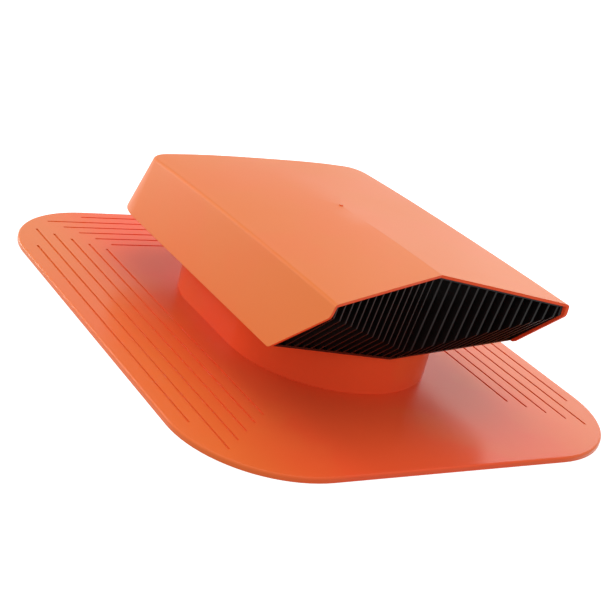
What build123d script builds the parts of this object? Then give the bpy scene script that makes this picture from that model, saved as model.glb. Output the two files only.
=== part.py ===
"""Roof shingle vent: flange with collar, slatted mouth insert and hood.

Frame: millimetres, origin at the centre of the flange's underside, +Z away from
the roof, +Y up the roof slope (the hood's closed back), -Y down it (the mouth).
"""

import os
from math import cos, radians, tan

from build123d import *

# Flange: the flat plate that lies on the roof under the shingles
flange_width = 308.0
flange_length = 371.0
flange_thickness = 3.4
flange_corner_radius = 69.5
flange_rim_fillet = 1.4

# Grooves in the flange's upper face, in rows along both sides and the back
groove_count = 6
groove_pitch = 10.0
groove_width = 1.6
groove_depth = 0.9
groove_side_margin = 11.4
groove_back_margin = 10.6
outer_groove_end_margin = 65.0
next_groove_end_margin = 35.3
groove_end_step = 8.3

# Collar: the upright duct, long in Y, with a reduced spigot above a shoulder
collar_radius = 70.0
collar_centre_distance = 60.0
collar_wall = 4.0
shoulder_step = 1.6
shoulder_height = 38.4
collar_height = 62.6

# Hood walls, given at the rim, the open lower edge
rim_height = 37.4
rim_half_width = 93.5
rim_back = 127.7
rim_corner_radius = 39.4
roof_corner_radius = 4.2
side_flare = 9.3
back_slope = 36.8
hood_wall = 1.9
roof_edge_fillet = 2.5

# Hood roof: a low ridge along Y that sinks and flattens towards the back
ridge_height = 92.4
ridge_start = -124.0
roof_drop = 10.0
roof_margin = 6.5
ridge_sink_rate = 0.000203
side_sink_rate = 0.000109
roof_flatten_length = 218.0
roof_stations = (-175.0, -60.0, 30.0, 95.0, 140.0)

# Mouth: upper facets notched back in a V, lower facets turned under the hood
mouth_apex = -124.5
mouth_notch_depth = 25.9
mouth_kink_depth = 16.4
face_lean = 9.0
chin_tip = -104.0
chin_tip_height = 24.9
chin_prow_depth = 11.6
rim_corner_fillet = 5.0
mouth_kink_fillet = 6.0

# Insert: the slatted mouth grille with its floor round the collar
fit_clearance = 0.3
face_recess = 2.5
fin_count = 28
fin_margin = 12.5
fin_thickness = 1.1
fin_depth = 12.0
frame_thickness = 1.4
floor_thickness = 2.5
chin_rise_length = 74.0

# Gate mark on the ridge
gate_position = -12.0
gate_diameter = 2.6
gate_height = 0.6
gate_sides = 12

# Far enough to pass any part of the hood
reach = 260.0

# Least distance of a chosen edge from the planes of the edges left out
edge_margin = 1.0

# Half width of the roof before the walls cut it
roof_reach = rim_half_width + roof_margin

# Heights above the underside of the flange
rim_z = flange_thickness + rim_height
floor_z = flange_thickness + shoulder_height
collar_top_z = flange_thickness + collar_height
ridge_z = flange_thickness + ridge_height
chin_tip_z = flange_thickness + chin_tip_height
walls_low_z = chin_tip_z - floor_thickness
walls_high_z = ridge_z + hood_wall
gate_z = ridge_z - ridge_sink_rate * (gate_position - ridge_start) ** 2 + gate_height


def end_margin(index):
    """Distance from a groove's end to the flange edge that crosses its line."""
    if index == 0:
        return outer_groove_end_margin
    return next_groove_end_margin + (index - 1) * groove_end_step


def half_width_at(height):
    """Half of the hood's outside width at one height."""
    return rim_half_width - (height - rim_z) * tan(radians(side_flare))


def walls_outline(height, inset):
    """Plan of the hood walls at one height, moved inwards by inset."""
    above_rim = height - rim_z
    half_width = half_width_at(height) - inset / cos(radians(side_flare))
    back = rim_back - above_rim * tan(radians(back_slope))
    back -= inset / cos(radians(back_slope))
    taper = (rim_corner_radius - roof_corner_radius) / (ridge_z - rim_z)
    radius = rim_corner_radius - above_rim * taper
    radius *= 1 - inset / rim_corner_radius
    with BuildSketch(Plane.XY.offset(height)) as outline:
        with BuildLine():
            left = Line((-half_width, -reach), (-half_width, back - radius))
            left_corner = TangentArc(left @ 1, (radius - half_width, back), tangent=left % 1)
            rear = Line(left_corner @ 1, (half_width - radius, back))
            right_corner = TangentArc(rear @ 1, (half_width, back - radius), tangent=rear % 1)
            right = Line(right_corner @ 1, (half_width, -reach))
            Line(right @ 1, left @ 0)
        make_face()
    return outline.sketch


def roof_section(station, inset):
    """Section across the roof at one station along Y, lowered by inset."""
    along = station - ridge_start
    crown = ridge_z - inset - ridge_sink_rate * along**2
    drop = roof_drop + (side_sink_rate - ridge_sink_rate) * along**2
    straightness = 1 - min(1.0, (along / roof_flatten_length) ** 2)
    third = drop * straightness / 3
    with BuildSketch(Plane.XZ.offset(-station)) as section:
        with BuildLine():
            right = Bezier(
                (0, crown),
                (roof_reach / 3, crown - third),
                (roof_reach * 2 / 3, crown - 2 * third),
                (roof_reach, crown - drop),
            )
            Line(right @ 1, (roof_reach, 0))
            Line((roof_reach, 0), (-roof_reach, 0))
            Line((-roof_reach, 0), (-roof_reach, crown - drop))
            Bezier(
                (-roof_reach, crown - drop),
                (-roof_reach * 2 / 3, crown - 2 * third),
                (-roof_reach / 3, crown - third),
                (0, crown),
            )
        make_face()
    return section.sketch


def hood_block(inset):
    """Solid under the roof and between the walls, all moved inwards by inset."""
    with BuildPart() as roof:
        for station in roof_stations:
            add(roof_section(station, inset))
        loft()
    with BuildPart() as block:
        for height in (walls_low_z, walls_high_z):
            add(walls_outline(height, inset))
        loft(ruled=True)
        add(roof.part, mode=Mode.INTERSECT)
    return block.part


def mouth_cutter(recess):
    """Solid in front of the mouth's facets, moved back into the hood by recess."""
    notch_slope = mouth_notch_depth / rim_half_width
    prow_slope = chin_prow_depth / rim_half_width
    kink_z = ridge_z - mouth_kink_depth
    kink_across = half_width_at(kink_z)
    kink_along = mouth_apex - kink_across * notch_slope
    kink_along += mouth_kink_depth * tan(radians(face_lean))
    chin_run = chin_tip + kink_across * prow_slope - kink_along
    up_the_face = Vector(0, -tan(radians(face_lean)), 1).normalized()
    up_the_chin = Vector(0, -chin_run, kink_z - chin_tip_z).normalized()
    apex = mouth_apex + recess
    notch = reach * notch_slope
    tip = chin_tip + recess
    prow = reach * prow_slope
    with BuildPart() as cutter:
        with BuildSketch(Plane.XY.offset(ridge_z)) as upper:
            Polygon((0, apex), (-reach, apex - notch), (-reach, -2 * reach),
                    (reach, -2 * reach), (reach, apex - notch), align=None)
        extrude(upper.sketch, amount=reach, dir=up_the_face, both=True)
        with BuildSketch(Plane.XY.offset(chin_tip_z)) as lower:
            Polygon((0, tip), (-reach, tip + prow), (-reach, -2 * reach),
                    (reach, -2 * reach), (reach, tip + prow), align=None)
        extrude(lower.sketch, amount=reach, dir=up_the_chin, both=True)
    return cutter.part


def chin_plane(side, lift):
    """Plane of the chin's right (side 1) or left (side -1) facet, raised by lift."""
    rise_across = (rim_z - chin_tip_z) / rim_half_width
    rise_back = (floor_z - chin_tip_z - rise_across * collar_radius) / chin_rise_length
    normal = Vector(-side * rise_across, -rise_back, 1).normalized()
    return Plane(origin=(0, chin_tip + face_recess, chin_tip_z + lift), z_dir=normal)


# Flange and collar, one moulding
with BuildPart() as flange_base:
    with BuildSketch():
        RectangleRounded(flange_width, flange_length, flange_corner_radius)
    extrude(amount=flange_thickness)
    flange_top = flange_base.faces().sort_by(Axis.Z)[-1]
    fillet(flange_top.edges(), radius=flange_rim_fillet)
    with BuildSketch(Plane.XY.offset(flange_thickness)):
        SlotCenterToCenter(collar_centre_distance, 2 * collar_radius, rotation=90)
    extrude(amount=shoulder_height)
    with BuildSketch(Plane.XY.offset(floor_z)):
        SlotCenterToCenter(
            collar_centre_distance, 2 * (collar_radius - shoulder_step), rotation=90
        )
    extrude(amount=collar_height - shoulder_height)
    with BuildSketch():
        SlotCenterToCenter(
            collar_centre_distance, 2 * (collar_radius - collar_wall), rotation=90
        )
    extrude(amount=collar_top_z, mode=Mode.SUBTRACT)
    with BuildSketch(Plane.XY.offset(flange_thickness)):
        for index in range(groove_count):
            across = flange_width / 2 - groove_side_margin - index * groove_pitch
            length = flange_length - 2 * end_margin(index)
            with Locations((across, 0), (-across, 0)):
                Rectangle(groove_width, length)
            across = flange_length / 2 - groove_back_margin - index * groove_pitch
            length = flange_width - 2 * end_margin(index)
            with Locations((0, across)):
                Rectangle(length, groove_width)
    extrude(amount=-groove_depth, mode=Mode.SUBTRACT)

# Hood, a thin shell open below and at the mouth
with BuildPart() as hood:
    add(hood_block(0))
    roof_faces = hood.faces().sort_by(Axis.Z)[-2:]
    roof_rim = (roof_faces[0].edges() + roof_faces[1].edges()).filter_by(
        lambda edge: abs(edge.center().X) > edge_margin
        and edge.center().Y > roof_stations[0] + edge_margin
    )
    fillet(roof_rim, radius=roof_edge_fillet)
    with BuildSketch(Plane.XY.offset(rim_z)):
        with Locations((0, gate_position)):
            RegularPolygon(gate_diameter / 2, gate_sides)
    extrude(amount=gate_z - rim_z)
    add(hood_block(hood_wall), mode=Mode.SUBTRACT)
    split(bisect_by=Plane.XY.offset(rim_z), keep=Keep.TOP)
    add(mouth_cutter(0), mode=Mode.SUBTRACT)
    for first, radius in ((2, mouth_kink_fillet), (0, rim_corner_fillet)):
        lip_corners = hood.edges().filter_by(
            lambda edge: edge.length < 2 * hood_wall and edge.center().Y < mouth_apex / 2
        )
        fillet(lip_corners.sort_by(Axis.Z)[first:first + 2], radius=radius)

# Mouth insert: fins in a frame, two chin plates and the floor round the collar
insert_inset = hood_wall + fit_clearance
fin_pitch = 2 * (rim_half_width - fin_margin) / (fin_count - 1)
insert_space = hood_block(insert_inset)

with BuildPart() as face_band:
    add(insert_space)
    add(mouth_cutter(face_recess), mode=Mode.SUBTRACT)
    add(mouth_cutter(face_recess + fin_depth), mode=Mode.INTERSECT)
    for side in (1, -1):
        split(bisect_by=chin_plane(side, 0), keep=Keep.TOP)

with BuildPart() as frame_band:
    add(face_band.part)
    add(hood_block(insert_inset + frame_thickness), mode=Mode.SUBTRACT)

with BuildPart() as fins:
    with GridLocations(fin_pitch, 1, fin_count, 1):
        Box(fin_thickness, 2 * reach, 2 * reach)
    add(face_band.part, mode=Mode.INTERSECT)

with BuildPart() as above_chin_plates:
    add(insert_space)
    for side in (1, -1):
        split(bisect_by=chin_plane(side, floor_thickness), keep=Keep.TOP)

with BuildPart() as chin_plates:
    add(insert_space)
    for side in (1, -1):
        split(bisect_by=chin_plane(side, 0), keep=Keep.TOP)

with BuildPart() as grille_insert:
    add(insert_space)
    split(bisect_by=Plane.XY.offset(floor_z), keep=Keep.TOP)
    add(chin_plates.part)
    split(bisect_by=Plane.XY.offset(floor_z + floor_thickness), keep=Keep.BOTTOM)
    add(above_chin_plates.part, mode=Mode.SUBTRACT)
    add(mouth_cutter(face_recess), mode=Mode.SUBTRACT)
    add(frame_band.part)
    add(fins.part)
    with BuildSketch():
        SlotCenterToCenter(
            collar_centre_distance, 2 * (collar_radius + fit_clearance), rotation=90
        )
    extrude(amount=floor_z, mode=Mode.SUBTRACT)
    with BuildSketch(Plane.XY.offset(floor_z)):
        SlotCenterToCenter(
            collar_centre_distance,
            2 * (collar_radius - shoulder_step + fit_clearance),
            rotation=90,
        )
    extrude(amount=collar_top_z, mode=Mode.SUBTRACT)

os.makedirs("parts", exist_ok=True)
for name, piece in (
    ("flange_base", flange_base),
    ("hood", hood),
    ("grille_insert", grille_insert),
):
    piece.part.label = name
    export_step(piece.part, f"parts/{name}.step")
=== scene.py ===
"""Look of the roof shingle vent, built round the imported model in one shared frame.

The flange with its collar and the hood are one orange plastic, satin and softly
textured from the mould. The slatted insert is a black plastic. Sizes are metres.
"""

import logging
import math
from dataclasses import dataclass, replace
from enum import Enum
from typing import Any, Union

import bmesh
import bpy
from mathutils import Matrix, Vector

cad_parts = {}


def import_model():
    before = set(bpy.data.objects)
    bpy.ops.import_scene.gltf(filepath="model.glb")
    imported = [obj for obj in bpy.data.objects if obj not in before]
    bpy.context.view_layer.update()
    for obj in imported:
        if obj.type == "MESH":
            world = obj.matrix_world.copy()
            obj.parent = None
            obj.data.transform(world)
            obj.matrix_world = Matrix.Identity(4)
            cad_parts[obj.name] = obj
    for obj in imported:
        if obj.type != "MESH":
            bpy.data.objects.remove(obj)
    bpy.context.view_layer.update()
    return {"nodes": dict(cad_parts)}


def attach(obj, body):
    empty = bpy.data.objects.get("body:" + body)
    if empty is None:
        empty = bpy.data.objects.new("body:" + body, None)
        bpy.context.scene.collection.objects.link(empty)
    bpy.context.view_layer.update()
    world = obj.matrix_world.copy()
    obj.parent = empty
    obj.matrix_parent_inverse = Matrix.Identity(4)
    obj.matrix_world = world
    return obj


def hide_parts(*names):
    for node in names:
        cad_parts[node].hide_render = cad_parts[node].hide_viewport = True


log = logging.getLogger("vent")

Value = Union[float, int, "Socket"]
Colour = tuple[float, float, float]
Place = tuple[float, float, float]

BODY = "root"

# The middle of a noise that runs from 0 to 1
MIDDLE = 0.5

# Where the Mix node has its share, its two colours and the mixed one
MIX_SHARE = 0
MIX_COLOURS = (6, 7)
MIXED_COLOUR = 2


def grey(level: float) -> tuple[float, float, float, float]:
    """A grey of that level, and opaque."""
    return (level, level, level, 1.0)


class Surface(Enum):
    """The two plastics of the vent, by their material slot in the record."""

    ORANGE = "orange_plastic"
    BLACK = "black_plastic"


class Socket:
    """A node's output, with the operators that add Math nodes behind it."""

    def __init__(self, graph: "Graph", link: bpy.types.NodeSocket | None) -> None:
        """Wrap an output.

        Args:
            graph: The graph that the output belongs to.
            link: The output, or None behind a node that ends the graph.
        """
        self.graph = graph
        self.link = link

    def _math(self, operation: str, first: Value, second: Value) -> "Socket":
        """Add a Math node on two values and return its output."""
        return self.graph.node(
            "ShaderNodeMath", {"operation": operation}, {0: first, 1: second}
        )

    def __add__(self, other: Value) -> "Socket":
        """Sum of two values."""
        return self._math("ADD", self, other)

    __radd__ = __add__

    def __sub__(self, other: Value) -> "Socket":
        """This value less the other."""
        return self._math("SUBTRACT", self, other)

    def __rsub__(self, other: Value) -> "Socket":
        """The other value less this one."""
        return self._math("SUBTRACT", other, self)

    def __mul__(self, other: Value) -> "Socket":
        """Product of two values."""
        return self._math("MULTIPLY", self, other)

    __rmul__ = __mul__

    def __abs__(self) -> "Socket":
        """This value without its sign."""
        return self._math("ABSOLUTE", self, 0.0)

    def clamp(self) -> "Socket":
        """This value held between 0 and 1."""
        return self.graph.node("ShaderNodeClamp", {}, {0: self, 1: 0.0, 2: 1.0})

    def ramp(self, low: float, high: float) -> "Socket":
        """This value as a smooth step.

        Args:
            low: The value that becomes 0.
            high: The value that becomes 1.

        Returns:
            The stepped value.
        """
        return self.graph.node(
            "ShaderNodeMapRange",
            {"interpolation_type": "SMOOTHSTEP"},
            {"Value": self, "From Min": low, "From Max": high},
        )


class Graph:
    """A node tree of a material or the world, filled through one method."""

    def __init__(self, owner: bpy.types.Material | bpy.types.World) -> None:
        """Empty the owner's node tree.

        Args:
            owner: The material or world.
        """
        owner.use_nodes = True
        self.owner = owner
        self.tree = owner.node_tree
        self.tree.nodes.clear()

    @classmethod
    def material(cls, name: str) -> "Graph":
        """A graph for a new material of that name."""
        return cls(bpy.data.materials.new(name))

    def node(
        self,
        kind: str,
        settings: dict[str, Any] | None = None,
        values: dict[Any, Any] | None = None,
        output: Any = 0,
    ) -> Socket:
        """Add one node.

        Args:
            kind: The node's type.
            settings: Properties, which are set first.
            values: Numbers, colours or links by input name or index.
            output: The name or index of the output to return.

        Returns:
            The chosen output.
        """
        made = self.tree.nodes.new(kind)
        for key, setting in (settings or {}).items():
            setattr(made, key, setting)
        for key, value in (values or {}).items():
            target = made.inputs[key]
            if isinstance(value, Socket):
                self.tree.links.new(value.link, target)
            else:
                target.default_value = value
        return Socket(self, made.outputs[output] if made.outputs else None)

    def place(self) -> Socket:
        """Object coordinates, which are the part's own frame in metres."""
        return self.node("ShaderNodeTexCoord", output="Object")

    def part(self, place: Socket, axis: int) -> Socket:
        """One coordinate of a place: 0 across, 1 up the slope."""
        return self.node("ShaderNodeSeparateXYZ", {}, {0: place}, axis)

    def noise(self, place: Socket, scale: float, detail: float) -> Socket:
        """Noise between 0 and 1.

        Args:
            place: The coordinates.
            scale: Waves in a metre.
            detail: Finer octaves.

        Returns:
            The noise.
        """
        values = {"Vector": place, "Scale": scale, "Detail": detail}
        return self.node("ShaderNodeTexNoise", {}, values)

    def blend(
        self, share: Value, first: Colour | Socket, second: Colour | Socket
    ) -> Socket:
        """Mix two colours.

        Args:
            share: 0 for the first, 1 for the second.
            first: One colour.
            second: The other.

        Returns:
            The mixed colour.
        """
        values: dict[int, Any] = {MIX_SHARE: share}
        for index, end in zip(MIX_COLOURS, (first, second)):
            values[index] = end if isinstance(end, Socket) else (*end, 1.0)
        return self.node("ShaderNodeMix", {"data_type": "RGBA"}, values, MIXED_COLOUR)

    def surface(self, values: dict[str, Any]) -> bpy.types.Material:
        """Finish a material with its shader.

        Args:
            values: The shader's inputs.

        Returns:
            The material.
        """
        shader = self.node("ShaderNodeBsdfPrincipled", {}, values)
        self.node("ShaderNodeOutputMaterial", {}, {"Surface": shader})
        return self.owner


@dataclass(frozen=True)
class Plastic:
    """A moulded plastic with soft clouds in its tone and gloss, and a fine grain."""

    name: str = "black_plastic"
    shine: float = 0.25
    shine_tint: Colour = (1.0, 1.0, 1.0)
    roughness: float = 0.45
    roughness_spread: float = 0.1
    cloud_scale: float = 20.0
    cloud_detail: float = 3.0
    cloud_low: float = 0.35
    cloud_high: float = 0.65
    grain_scale: float = 1200.0
    grain_detail: float = 2.0
    grain_height: float = 0.00002
    edge_radius: float = 0.0
    edge_samples: int = 10

    def tone(self, graph: Graph, place: Socket, cloud: Socket) -> Socket:
        """Colour the plastic, in each kind of plastic its own way.

        Args:
            graph: The material's graph.
            place: The coordinates.
            cloud: The clouds, as a smooth step from 0 to 1.

        Returns:
            The colour.
        """
        raise NotImplementedError

    def relief(self, graph: Graph, place: Socket) -> Socket:
        """Raise the mould's grain, and soften the edges where a radius is given.

        Args:
            graph: The material's graph.
            place: The coordinates.

        Returns:
            The normal.
        """
        grain = graph.noise(place, self.grain_scale, self.grain_detail)
        values = {"Height": grain, "Distance": self.grain_height, "Strength": 1.0}
        if self.edge_radius:
            values["Normal"] = graph.node(
                "ShaderNodeBevel",
                {"samples": self.edge_samples},
                {"Radius": self.edge_radius},
            )
        return graph.node("ShaderNodeBump", {}, values)

    def build(self) -> bpy.types.Material:
        """Build the material.

        Returns:
            The material.
        """
        graph = Graph.material(self.name)
        place = graph.place()
        clouds = graph.noise(place, self.cloud_scale, self.cloud_detail)
        cloud = clouds.ramp(self.cloud_low, self.cloud_high)
        return graph.surface(
            {
                "Base Color": self.tone(graph, place, cloud),
                "Roughness": (clouds - MIDDLE) * self.roughness_spread
                + self.roughness,
                "Specular IOR Level": self.shine,
                "Specular Tint": (*self.shine_tint, 1.0),
                "Normal": self.relief(graph, place),
            }
        )


@dataclass(frozen=True)
class BlackPlastic(Plastic):
    """Black polypropylene of the slatted insert."""

    base: Colour = (0.004, 0.004, 0.004)
    worn: Colour = (0.007, 0.007, 0.007)

    def tone(self, graph: Graph, place: Socket, cloud: Socket) -> Socket:
        """Blend the two blacks in clouds.

        Args:
            graph: The material's graph.
            place: The coordinates, which the clouds follow; not used here.
            cloud: The clouds, as a smooth step from 0 to 1.

        Returns:
            The colour.
        """
        return graph.blend(cloud, self.base, self.worn)


@dataclass(frozen=True)
class OrangePlastic(Plastic):
    """Orange polypropylene, with painted shade by the collar under the hood and a
    paler painted lit tone at the sides and the back.
    """

    name: str = "orange_plastic"
    shine: float = 0.19
    shine_tint: Colour = (1.0, 0.9, 0.7)
    roughness: float = 0.24
    roughness_spread: float = 0.08
    cloud_scale: float = 14.0
    grain_scale: float = 1400.0
    # Lit and shaded copies of one orange: painted shade by the collar, a middle tone
    # in the open at the sides, and a paler painted lit tone at the outer back and on
    # the hood
    painted_shade: Colour = (0.95, 0.104, 0.03)
    side: Colour = (0.87, 0.166, 0.036)
    painted_light: Colour = (0.82, 0.198, 0.042)
    cloud_share: float = 0.2
    painted_light_share: float = 0.0
    side_from: float = 0.07
    side_to: float = 0.14
    back_from: float = 0.0
    back_to: float = 0.14

    def tone(self, graph: Graph, place: Socket, cloud: Socket) -> Socket:
        """Blend the painted shade, side and painted lit tones over the flange, or the
        painted lit tone over the hood.

        Args:
            graph: The material's graph.
            place: The coordinates.
            cloud: The clouds, as a smooth step from 0 to 1.

        Returns:
            The colour.
        """
        shift = (cloud - MIDDLE) * self.cloud_share
        # Painted shade and light: darker and redder by the collar, going to the side
        # tone outward and to the painted lit tone towards the outer back
        outward = abs(graph.part(place, 0)).ramp(self.side_from, self.side_to)
        backward = graph.part(place, 1).ramp(self.back_from, self.back_to)
        flange = graph.blend((outward + shift).clamp(), self.painted_shade, self.side)
        flange = graph.blend(outward * backward, flange, self.painted_light)
        return graph.blend((shift + self.painted_light_share).clamp(), flange, self.painted_light)


@dataclass(frozen=True)
class HoodPlastic(OrangePlastic):
    """The same orange on the hood, all in the paler painted lit tone, with less gloss
    and soft edges.
    """

    name: str = "orange_hood"
    # The whole hood takes the painted lit tone
    painted_light_share: float = 1.0
    roughness: float = 0.38
    edge_radius: float = 0.0004


@dataclass
class Moulding:
    """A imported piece, dressed as one smooth moulding."""

    node: str
    surface: Surface
    finishes: tuple[bpy.types.Material, ...]
    sharp_angle: float = math.radians(28)
    merge_distance: float = 1e-6

    def is_crease(self, edge: bmesh.types.BMEdge) -> bool:
        """Say whether an edge stays sharp though its faces meet almost flat."""
        return False

    def is_shaded_face(self, face: bmesh.types.BMFace) -> bool:
        """Say whether a face takes the piece's second finish, which paints shade on
        it.
        """
        return False

    def build(self, source: bpy.types.Object) -> bpy.types.Object:
        """Copy the node, merge its triangles and smooth its curved faces.

        Args:
            source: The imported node.

        Returns:
            The smooth piece.
        """
        shape = bmesh.new()
        shape.from_mesh(source.data)
        bmesh.ops.remove_doubles(shape, verts=shape.verts, dist=self.merge_distance)
        shape.edges.index_update()
        for face in shape.faces:
            face.material_index = int(self.is_shaded_face(face))
        creases = [edge.index for edge in shape.edges if self.is_crease(edge)]
        mesh = bpy.data.meshes.new(self.node + "_shell")
        shape.to_mesh(mesh)
        shape.free()
        mesh.attributes.remove(mesh.attributes["custom_normal"])
        mesh.shade_smooth()
        mesh.set_sharp_from_angle(angle=self.sharp_angle)
        for index in creases:
            mesh.edges[index].use_edge_sharp = True
        for finish in self.finishes:
            mesh.materials.append(finish)
        piece = bpy.data.objects.new(self.node + "_shell", mesh)
        bpy.context.scene.collection.objects.link(piece)
        normals = piece.modifiers.new("normals", "WEIGHTED_NORMAL")
        normals.keep_sharp = True
        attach(piece, BODY)
        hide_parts(self.node)
        log.info("%s: %d vertices", piece.name, len(mesh.vertices))
        return piece


@dataclass
class Hood(Moulding):
    """The hood, with painted shade on its lip and inside, and a fine crease on its
    ridge.

    The crease ends short of the gate mark, where the roof flattens out.
    """

    ridge_reach: float = 0.0005
    ridge_above: float = 0.07
    ridge_ends: float = -0.02
    shade_facing: float = -0.5
    inner_reach: float = 0.02

    def is_shaded_face(self, face: bmesh.types.BMFace) -> bool:
        """Say whether a face gets painted shade: the mouth's lip and the faces turned
        to the front, down or inward inside the hood.
        """
        # Painted shade: faces turned to the front, down or inward take the darker
        # tone
        across = face.normal.x * face.calc_center_median().x
        return (
            face.normal.y < self.shade_facing
            or face.normal.z < self.shade_facing
            or across < -self.inner_reach
        )

    def is_crease(self, edge: bmesh.types.BMEdge) -> bool:
        """Say whether an edge lies on the front of the ridge."""
        return all(
            abs(end.co.x) < self.ridge_reach
            and end.co.z > self.ridge_above
            and end.co.y < self.ridge_ends
            for end in edge.verts
        )


@dataclass(frozen=True)
class Lamp:
    """One soft area lamp."""

    name: str
    place: Place
    size: tuple[float, float]
    power: float
    aim: Place = (0.0, 0.0, 0.05)

    def build(self) -> None:
        """Add the lamp, turned to what it lights."""
        data = bpy.data.lights.new(self.name, "AREA")
        data.shape = "RECTANGLE"
        data.size, data.size_y = self.size
        data.energy = self.power
        lamp = bpy.data.objects.new(self.name, data)
        bpy.context.scene.collection.objects.link(lamp)
        direction = Vector(self.aim) - Vector(self.place)
        turn = direction.to_track_quat("-Z", "Y").to_matrix().to_4x4()
        lamp.matrix_world = Matrix.Translation(self.place) @ turn


@dataclass
class Studio:
    """Floor, lamps, world and camera."""

    camera_place: Place = (-0.4891, -0.6710, 0.3416)
    right: Place = (0.83424, -0.49644, 0.23998)
    up: Place = (0.00181, 0.43768, 0.89913)
    back: Place = (-0.55139, -0.74966, 0.36603)
    lens: float = 77.6
    sensor: float = 36.0
    clip_start: float = 0.01
    floor_size: float = 12.0
    floor_drop: float = 0.0002
    floor_albedo: float = 0.6
    floor_shadow: float = 0.65
    floor_glow: float = 0.8
    white_level: float = 1.0
    world_level: float = 0.7
    lamps: tuple[Lamp, ...] = (
        Lamp("top", (0.1, 0.3, 2.0), (1.6, 1.6), 8.0),
        Lamp("left", (-1.7, 0.2, 1.0), (1.2, 1.2), 2.5),
        Lamp("near_left", (-0.55, 0.95, 0.09), (0.4, 0.18), 2.2),
        Lamp("back_left", (-0.9, 1.7, 1.1), (0.6, 0.4), 7.0),
        Lamp("right", (1.5, 1.33, 0.85), (0.9, 0.6), 2.3),
        Lamp("low_right", (1.7, 0.9, 0.4), (1.0, 0.4), 1.2),
    )

    def camera(self) -> None:
        """Place the photograph's camera."""
        data = bpy.data.cameras.new("camera")
        data.lens = self.lens
        data.sensor_width = self.sensor
        data.clip_start = self.clip_start
        camera = bpy.data.objects.new("camera", data)
        bpy.context.scene.collection.objects.link(camera)
        turn = Matrix((self.right, self.up, self.back)).transposed().to_4x4()
        camera.matrix_world = Matrix.Translation(self.camera_place) @ turn
        bpy.context.scene.camera = camera

    def seen(self, graph: Graph) -> Socket:
        """Say whether a ray shows the background, directly or in a reflection.

        Args:
            graph: The floor's or the world's graph.

        Returns:
            1 for such a ray, or else 0.
        """
        path = "ShaderNodeLightPath"
        camera = graph.node(path, output="Is Camera Ray")
        glossy = graph.node(path, output="Is Glossy Ray")
        through = graph.node(path, output="Is Transmission Ray")
        return (camera + glossy + through).clamp()

    def light(self, graph: Graph, kind: str, level: float) -> Socket:
        """Add a white light to a graph.

        Args:
            graph: The floor's or the world's graph.
            kind: The shader's type.
            level: How strong it is, where 1 is white.

        Returns:
            The shader.
        """
        return graph.node(kind, {}, {"Color": grey(1.0), "Strength": level})

    def world(self) -> None:
        """White to the camera and in reflections, and a soft light elsewhere."""
        world = bpy.data.worlds.new("world")
        bpy.context.scene.world = world
        graph = Graph(world)
        plain = self.light(graph, "ShaderNodeBackground", self.world_level)
        white = self.light(graph, "ShaderNodeBackground", self.white_level)
        mixed = graph.node(
            "ShaderNodeMixShader", {}, {0: self.seen(graph), 1: plain, 2: white}
        )
        graph.node("ShaderNodeOutputWorld", {}, {"Surface": mixed})

    def floor(self) -> None:
        """Lay the pale floor under the flange, white to the camera but shaded."""
        shape = bmesh.new()
        bmesh.ops.create_grid(
            shape, x_segments=1, y_segments=1, size=self.floor_size / 2
        )
        bmesh.ops.translate(shape, vec=(0, 0, -self.floor_drop), verts=shape.verts)
        mesh = bpy.data.meshes.new("floor")
        shape.to_mesh(mesh)
        shape.free()
        graph = Graph.material("floor")
        matt, shaded = (
            graph.node("ShaderNodeBsdfDiffuse", {}, {"Color": grey(level)})
            for level in (self.floor_albedo, self.floor_shadow)
        )
        glow = self.light(graph, "ShaderNodeEmission", self.floor_glow)
        white = graph.node("ShaderNodeAddShader", {}, {0: shaded, 1: glow})
        mixed = graph.node(
            "ShaderNodeMixShader", {}, {0: self.seen(graph), 1: matt, 2: white}
        )
        graph.node("ShaderNodeOutputMaterial", {}, {"Surface": mixed})
        mesh.materials.append(graph.owner)
        floor = bpy.data.objects.new("floor", mesh)
        bpy.context.scene.collection.objects.link(floor)

    def build(self) -> None:
        """Set up the whole stage."""
        bpy.context.scene.view_settings.view_transform = "Standard"
        self.camera()
        self.world()
        self.floor()
        for lamp in self.lamps:
            lamp.build()


def main() -> None:
    """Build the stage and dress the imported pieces."""
    logging.basicConfig(level=logging.INFO, format="%(name)s: %(message)s")
    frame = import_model()
    Studio().build()
    flange = OrangePlastic().build()
    painted_light = HoodPlastic()
    # Painted shade: the hood's lip and inside take the darker tone from by the collar
    lip = replace(painted_light, name="orange_lip_painted_shade", painted_light=painted_light.painted_shade)
    for moulding in (
        Moulding("flange_base", Surface.ORANGE, (flange,)),
        Hood("hood", Surface.ORANGE, (painted_light.build(), lip.build())),
        Moulding("grille_insert", Surface.BLACK, (BlackPlastic().build(),)),
    ):
        moulding.build(frame["nodes"][moulding.node])


if __name__ == "__main__":
    main()
